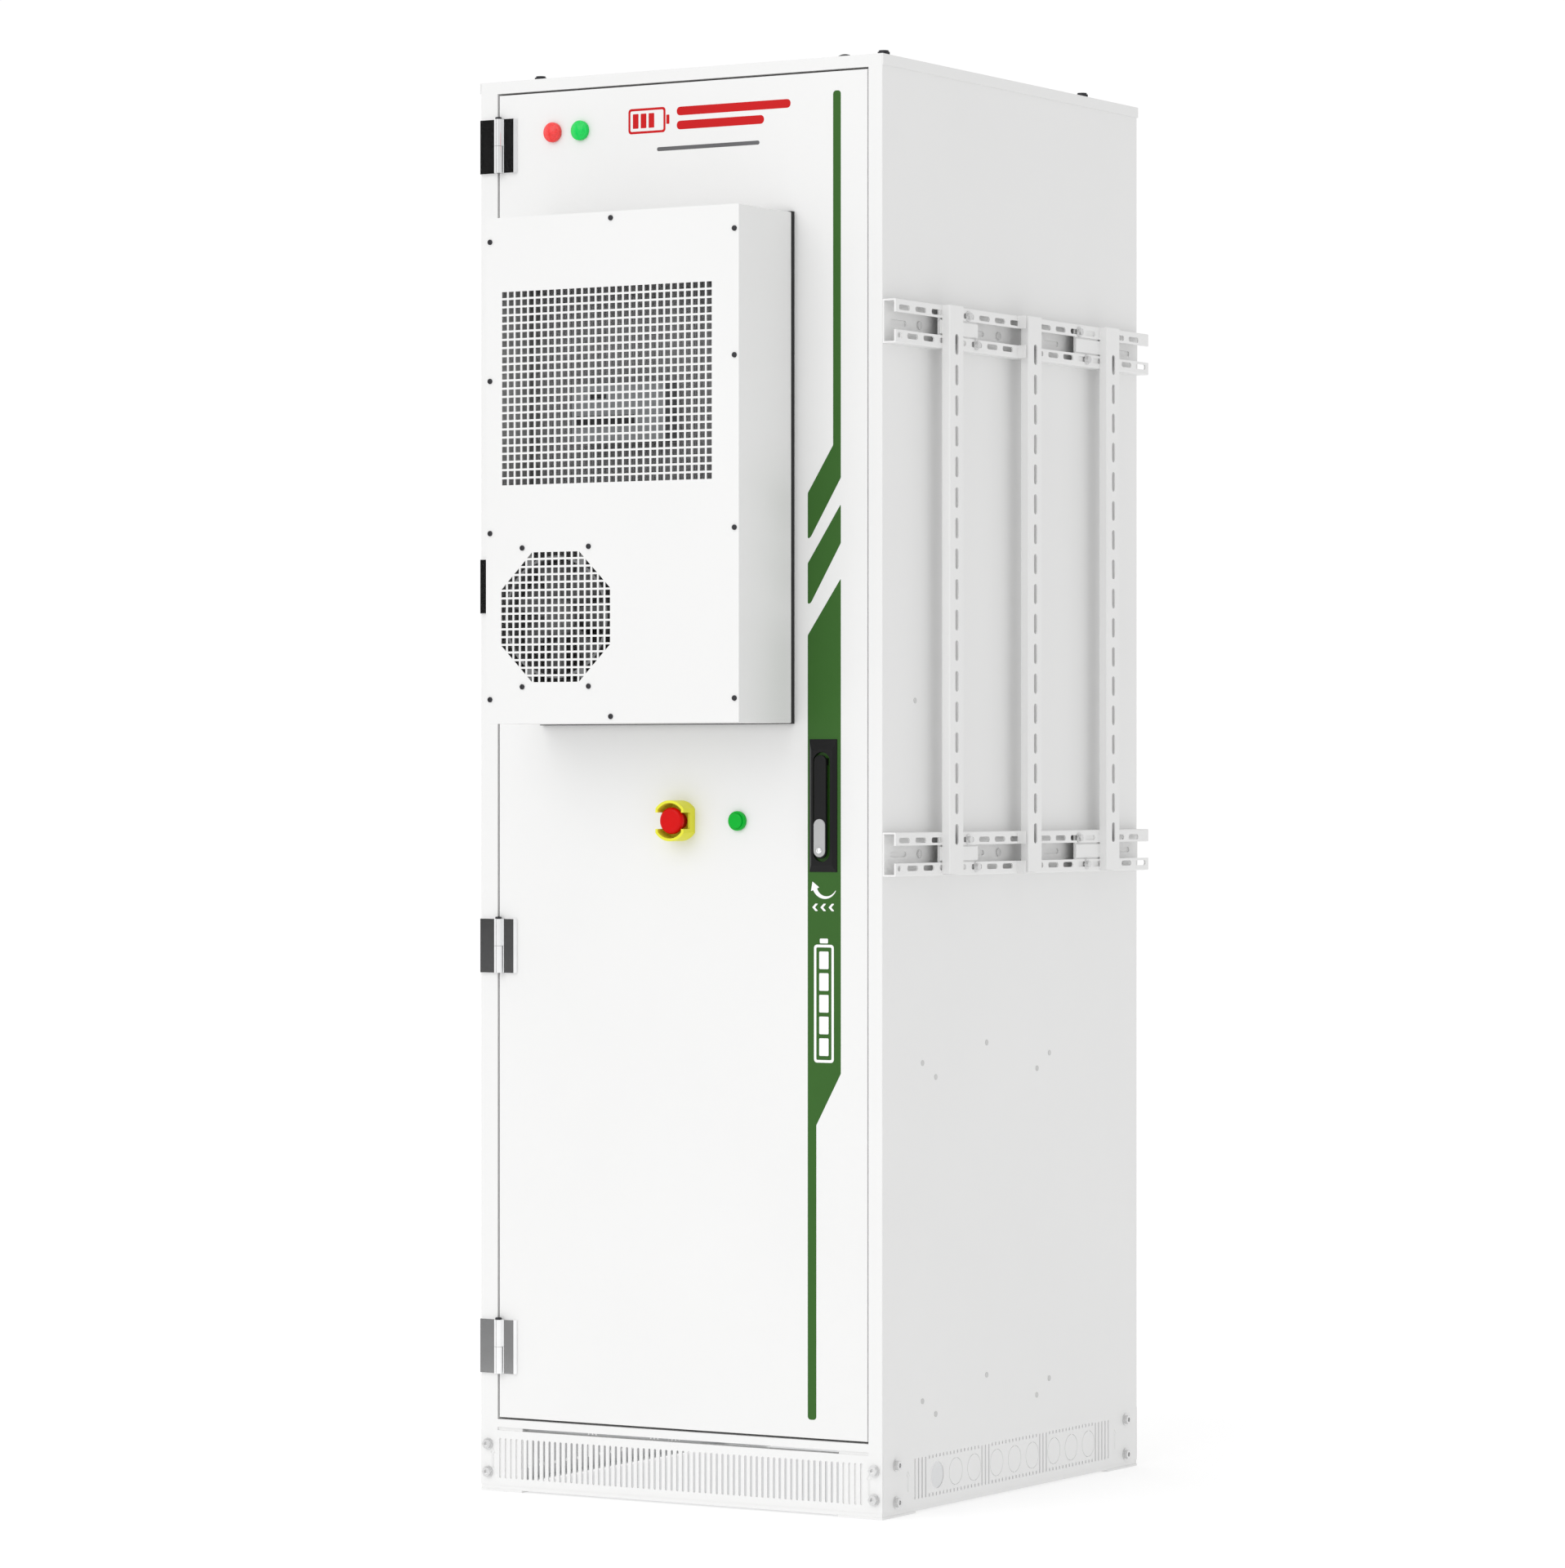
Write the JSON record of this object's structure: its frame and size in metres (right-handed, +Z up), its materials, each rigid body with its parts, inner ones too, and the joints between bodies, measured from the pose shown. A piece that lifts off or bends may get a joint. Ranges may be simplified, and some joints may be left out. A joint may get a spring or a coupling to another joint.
{
  "type": "battery cabinet",
  "caption": "Tall outdoor battery cabinet: slotted plinth, hinged door with air conditioner, emergency stop and swing handle, side rail frame.",
  "frame": {"origin": "centre of the four floor anchors, at floor level", "axes": "+Z up, -Y out of the door, +X to the right of a person who faces the door"},
  "size_m": [0.7523, 0.9641, 2.189],
  "materials": {
    "white_coat": "fine-textured white powder coat",
    "grey_coat": "satin grey powder coat",
    "galvanised": "galvanised sheet",
    "zinc": "bright zinc plate",
    "chrome": "polished chrome plate",
    "black_steel": "black oxide",
    "black_plastic": "moulded, matte",
    "white_plastic": "moulded, matte",
    "grey_plastic": "moulded, matte",
    "handle_black": "black glass-filled nylon",
    "cover_grey": "grey moulded dust cover",
    "module_case": "dark textured case",
    "orange_sleeve": "orange insulating sleeve",
    "red_plastic": "glossy",
    "green_plastic": "glossy",
    "yellow_plastic": "satin",
    "red_lens": "translucent lens",
    "green_lens": "translucent lens",
    "black_rubber": "foam rubber",
    "coil": "finned coil"
  },
  "bodies": {
    "cabinet": {"plinth_corners": "white_coat", "plinth_panels": "white_coat", "plinth_bolts": "zinc", "corner_posts": "white_coat", "frame_rails": "white_coat", "rebate_strips": "white_coat", "base_pan": "galvanised", "cable_glands": "black_plastic", "side_panels": "white_coat", "rear_panel": "white_coat", "roof_panel": "white_coat", "lifting_bolts": "black_steel", "roof_antenna": "black_plastic", "hole_plugs": "white_plastic", "frame_hinge_leaves": "chrome", "hinge_pins": "black_steel", "strut_channels": "white_coat", "mounting_rails": "white_coat", "rail_brackets": "white_coat", "rail_bolts": "zinc", "battery_rack": "galvanised", "battery_modules": "module_case", "module_handles": "black_plastic", "link_bars": "orange_sleeve", "control_box": "grey_coat", "main_breaker": "black_plastic", "rod_keepers": "zinc"},
    "door": {"door_panel": "white_coat", "door_stiffeners": "galvanised", "door_gasket": "black_rubber", "door_hinge_leaves": "chrome", "pilot_lamp_red": "red_lens", "pilot_lamp_green": "green_lens", "estop_shroud": "yellow_plastic", "estop_base": "red_plastic", "contact_blocks": "black_plastic", "start_button_collar": "green_plastic", "ac_casing": "white_coat", "ac_cover": "white_coat", "ac_screws": "black_steel", "ac_gasket": "black_rubber", "ac_condenser": "coil", "ac_control_box": "grey_coat", "ac_compressor": "black_steel", "ac_fan_frame": "grey_plastic", "ac_inner_casing": "white_coat", "handle_housing": "handle_black", "latch_brackets": "zinc"},
    "ac_fan": {"ac_fan_rotor": "grey_plastic"},
    "ac_blower": {"ac_blower_rotor": "grey_plastic"},
    "estop_plunger": {"estop_plunger": "red_plastic"},
    "estop_head": {"estop_head": "red_plastic"},
    "start_button": {"start_button_cap": "green_plastic"},
    "handle_spindle": {"handle_spindle": "zinc"},
    "handle_lever": {"handle_lever": "handle_black"},
    "key_cover": {"key_cover": "cover_grey"},
    "key_plug": {"key_plug": "chrome"},
    "upper_rod": {"upper_rod": "zinc"},
    "lower_rod": {"lower_rod": "zinc"},
    "breaker_toggle": {"breaker_toggle": "red_plastic"}
  },
  "joints": [
    {"name": "door_swing", "type": "hinge", "parent": "cabinet", "child": "door", "pos_m": [-0.318, -0.407, 1.1], "axis": [0, 0, -1], "range_deg": [0, 120]},
    {"name": "handle_turn", "type": "hinge", "parent": "door", "child": "handle_spindle", "pos_m": [0.2548, -0.4, 1.11175], "axis": [0, 1, 0], "range_deg": [0, 90]},
    {"name": "handle_lift", "type": "hinge", "parent": "handle_spindle", "child": "handle_lever", "pos_m": [0.2548, -0.402, 1.11175], "axis": [-1, 0, 0], "range_deg": [0, 25]},
    {"name": "key_cover_swing", "type": "hinge", "parent": "handle_lever", "child": "key_cover", "pos_m": [0.2548, -0.4112, 0.98075], "axis": [0, -1, 0], "range_deg": [0, 95]},
    {"name": "key_turn", "type": "hinge", "parent": "handle_lever", "child": "key_plug", "pos_m": [0.2548, -0.409, 1.01275], "axis": [0, 1, 0], "range_deg": [0, 90]},
    {"name": "upper_rod_slide", "type": "slide", "parent": "door", "child": "upper_rod", "axis": [0, 0, 1], "range_m": [-0.019, 0]},
    {"name": "lower_rod_slide", "type": "slide", "parent": "door", "child": "lower_rod", "axis": [0, 0, 1], "range_m": [0, 0.019]},
    {"name": "estop_press", "type": "slide", "parent": "door", "child": "estop_plunger", "axis": [0, 1, 0], "range_m": [0, 0.005], "stiffness_N_per_m": 800},
    {"name": "estop_twist", "type": "hinge", "parent": "estop_plunger", "child": "estop_head", "pos_m": [0.0066, -0.42, 1.024], "axis": [0, 1, 0], "range_deg": [0, 45], "stiffness_Nm_per_rad": 0.2},
    {"name": "start_press", "type": "slide", "parent": "door", "child": "start_button", "axis": [0, 1, 0], "range_m": [0, 0.003], "stiffness_N_per_m": 600},
    {"name": "fan_spin", "type": "hinge", "parent": "door", "child": "ac_fan", "pos_m": [-0.1163, -0.529, 1.327], "axis": [0, 1, 0], "continuous": true},
    {"name": "blower_spin", "type": "hinge", "parent": "door", "child": "ac_blower", "pos_m": [-0.0184, -0.37, 1.76], "axis": [0, 1, 0], "continuous": true},
    {"name": "breaker_throw", "type": "hinge", "parent": "cabinet", "child": "breaker_toggle", "pos_m": [-0.04, -0.318, 2.012], "axis": [1, 0, 0], "range_deg": [0, 40]}
  ],
  "couplings": [
    {"joint": "upper_rod_slide", "follows": "handle_turn", "m_per_rad": -0.012},
    {"joint": "lower_rod_slide", "follows": "handle_turn", "m_per_rad": 0.012}
  ]
}
